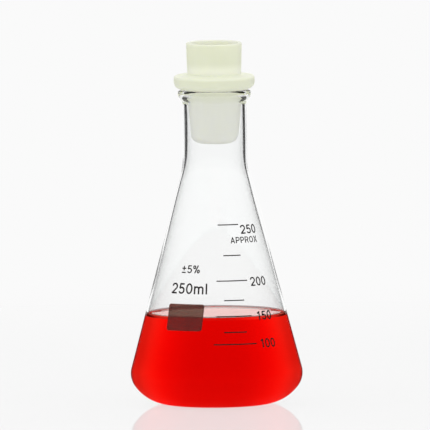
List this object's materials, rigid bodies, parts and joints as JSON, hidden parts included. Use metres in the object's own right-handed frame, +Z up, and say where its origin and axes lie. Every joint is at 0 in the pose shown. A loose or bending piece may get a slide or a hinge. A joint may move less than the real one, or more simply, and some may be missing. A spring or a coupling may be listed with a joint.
{
  "type": "erlenmeyer flask",
  "caption": "Conical glass laboratory flask with a rolled rim, fired volume scale, coloured filling and a hollow plastic stopper that lifts out of the neck.",
  "frame": {"origin": "centre of the foot, on the plane the flask stands on", "axes": "+Z up along the flask's axis of revolution; the printed scale faces -Y, with the numerals towards +X"},
  "size_m": [0.0816, 0.0816, 0.1724],
  "materials": {
    "clear_glass": "polished",
    "red_liquid": "polished",
    "frosted_plastic": "satin",
    "print_enamel": "satin",
    "patch_enamel": "satin"
  },
  "bodies": {
    "flask": {"flask_body": "clear_glass", "liquid": "red_liquid", "major_graduations": "print_enamel", "minor_graduations": "print_enamel", "scale_numerals": "print_enamel", "capacity_mark": "print_enamel", "tolerance_mark": "print_enamel", "approx_mark": "print_enamel", "writing_patch": "patch_enamel"},
    "stopper": {"stopper": "frosted_plastic"}
  },
  "joints": [
    {"name": "stopper_lift", "type": "slide", "parent": "flask", "child": "stopper", "axis": [0, 0, 1], "range_m": [0, 0.045]}
  ]
}
